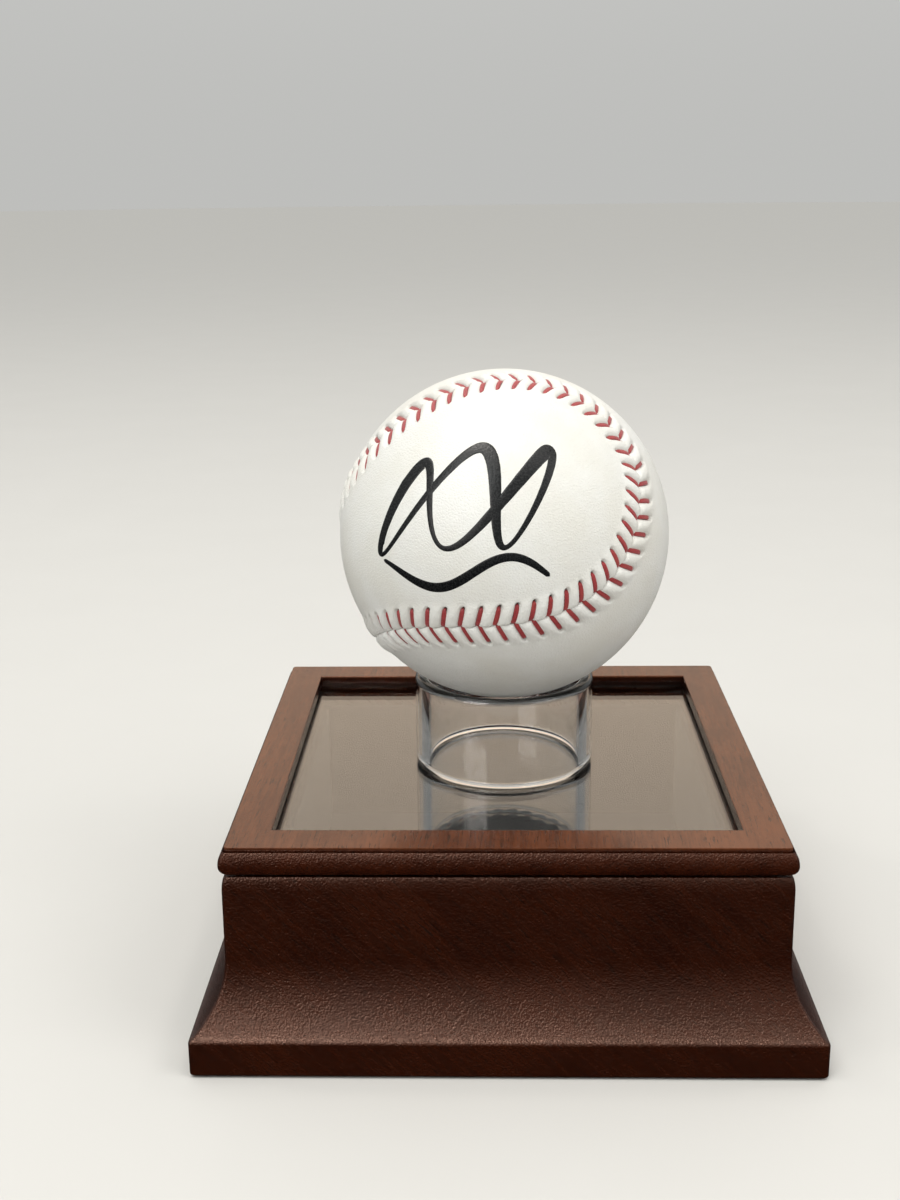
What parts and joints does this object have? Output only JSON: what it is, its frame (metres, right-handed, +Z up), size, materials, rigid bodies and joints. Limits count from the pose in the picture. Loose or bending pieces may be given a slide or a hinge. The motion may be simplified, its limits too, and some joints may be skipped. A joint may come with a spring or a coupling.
{
  "type": "shadow box",
  "caption": "Glass-topped keepsake box in dark mahogany with a coved plinth and a hinged lid; a clear ring on the glass holds a stitched leather ball.",
  "frame": {"origin": "centre of the square that the box stands on, at the underside of its felt pads", "axes": "+Z up, -Y towards the front of the box, +X to its right as seen from the front; the lid's hinges are at the +Y side"},
  "size_m": [0.13, 0.13, 0.1357],
  "materials": {
    "mahogany": "dark red-brown stain under satin lacquer",
    "hardboard": "raw pressed board",
    "velvet": "matt black pile",
    "felt": "matt black felt",
    "glass": "polished",
    "acrylic": "clear, polished",
    "brass": "lightly tarnished",
    "steel": "bright zinc plate",
    "leather": "satin white, fine grain",
    "thread": "waxed cotton",
    "yarn": "wound wool"
  },
  "bodies": {
    "base": {"front_moulding": "mahogany", "right_moulding": "mahogany", "back_moulding": "mahogany", "left_moulding": "mahogany", "bottom_panel": "hardboard", "panel_screw_front": "steel", "panel_screw_right": "steel", "panel_screw_back": "steel", "panel_screw_left": "steel", "felt_pad_front_left": "felt", "felt_pad_front_right": "felt", "felt_pad_back_left": "felt", "felt_pad_back_right": "felt", "well_floor": "velvet", "well_liner_front": "velvet", "well_liner_right": "velvet", "well_liner_back": "velvet", "well_liner_left": "velvet", "hinge_base_leaf_left": "brass", "hinge_pin_left": "brass", "magnet_left": "steel", "hinge_base_leaf_right": "brass", "hinge_pin_right": "brass", "magnet_right": "steel", "base_leaf_screw_left_outer": "brass", "base_leaf_screw_left_inner": "brass", "base_leaf_screw_right_inner": "brass", "base_leaf_screw_right_outer": "brass"},
    "lid": {"lid_frame": "mahogany", "glass_pane": "glass", "glass_stop_front": "mahogany", "glass_stop_right": "mahogany", "glass_stop_back": "mahogany", "glass_stop_left": "mahogany", "hinge_lid_leaf_left": "brass", "steel_disc_left": "steel", "hinge_lid_leaf_right": "brass", "steel_disc_right": "steel", "lid_leaf_screw_left_outer": "brass", "lid_leaf_screw_left_inner": "brass", "lid_leaf_screw_right_inner": "brass", "lid_leaf_screw_right_outer": "brass"},
    "ring": {"acrylic_ring": "acrylic"},
    "ball": {"ball_core": "yarn", "ball_cover_a": "leather", "ball_cover_b": "leather", "seam_thread": "thread"}
  },
  "joints": [
    {"name": "lid_hinge", "type": "hinge", "parent": "base", "child": "lid", "pos_m": [0, 0.0598, 0.04145], "axis": [-1, 0, 0], "range_deg": [0, 100]},
    {"name": "ring_lift", "type": "slide", "parent": "lid", "child": "ring", "axis": [0, 0, 1], "range_m": [0, 0.05]},
    {"name": "ball_lift", "type": "slide", "parent": "ring", "child": "ball", "axis": [0, 0, 1], "range_m": [0, 0.05]}
  ]
}
